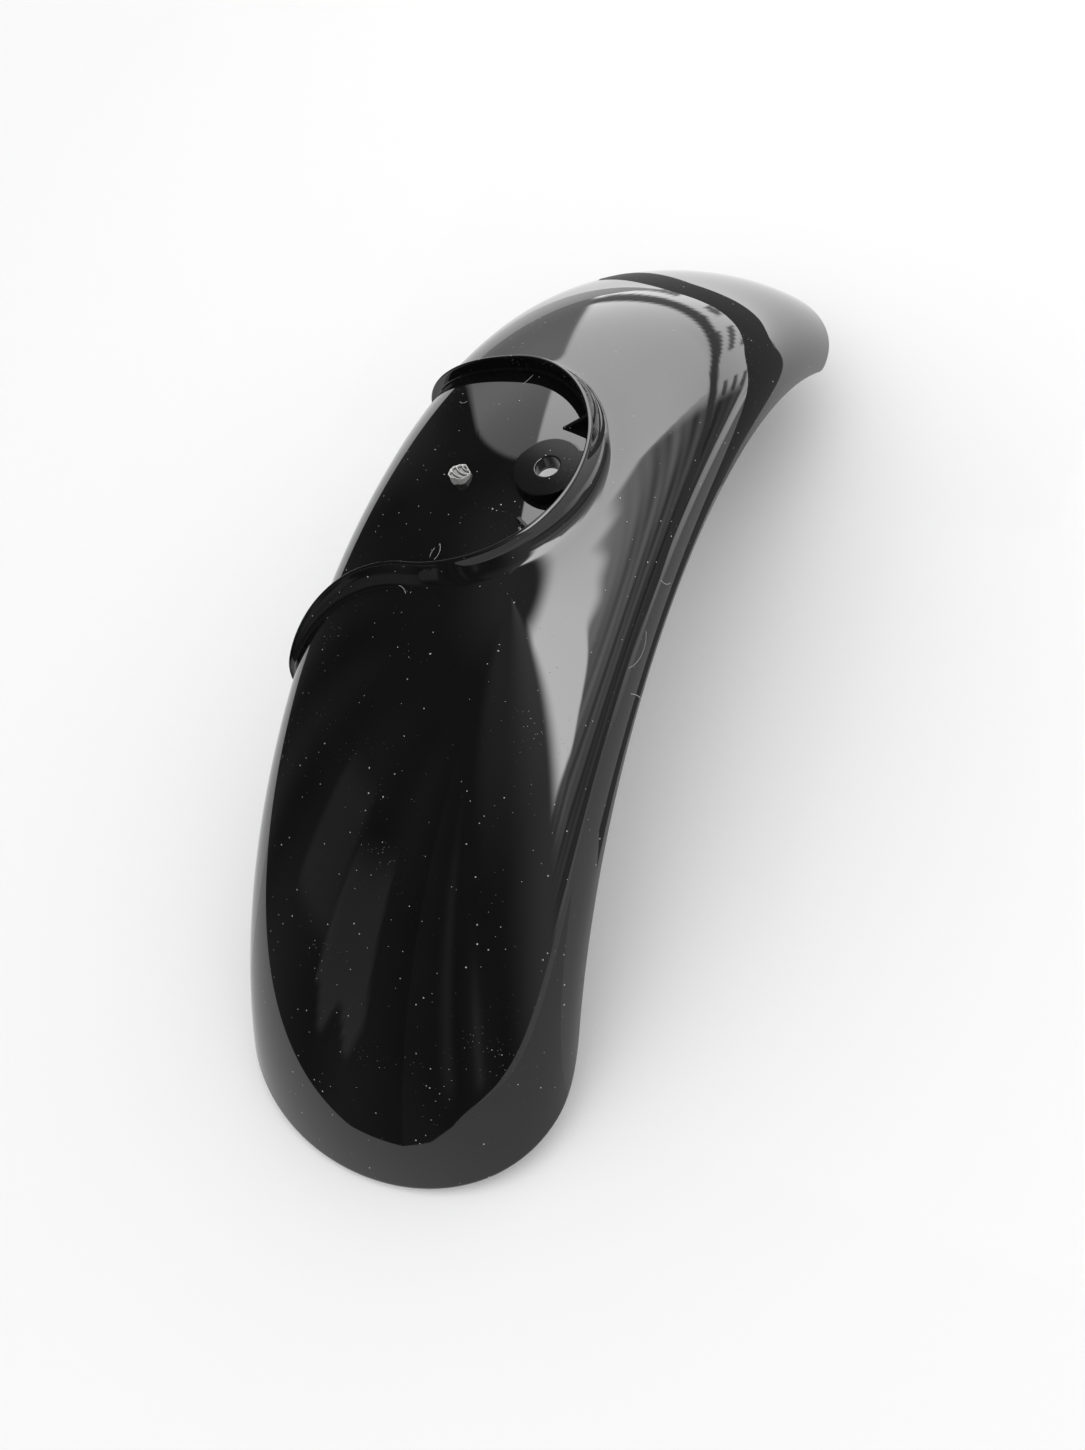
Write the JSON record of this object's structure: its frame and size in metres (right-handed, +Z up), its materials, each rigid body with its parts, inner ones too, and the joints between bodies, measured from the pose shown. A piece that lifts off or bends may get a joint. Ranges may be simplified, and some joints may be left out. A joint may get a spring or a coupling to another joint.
{
  "type": "motorcycle front mudguard",
  "caption": "Arched motorcycle front mudguard moulded in gloss-black plastic, with a raised U-shaped fork pocket open to one side and a round boss with a bolt hole.",
  "frame": {"origin": "centre of the bolt boss's seat face, on the axis of the bolt hole", "axes": "+X forwards along the arch, +Y to the left, towards the open side of the fork pocket, +Z up along the bolt"},
  "size_m": [0.4147, 0.1356, 0.1338],
  "materials": {
    "black_plastic": "gloss, as moulded"
  },
  "bodies": {
    "root": {"mudguard": "black_plastic"}
  },
  "joints": []
}
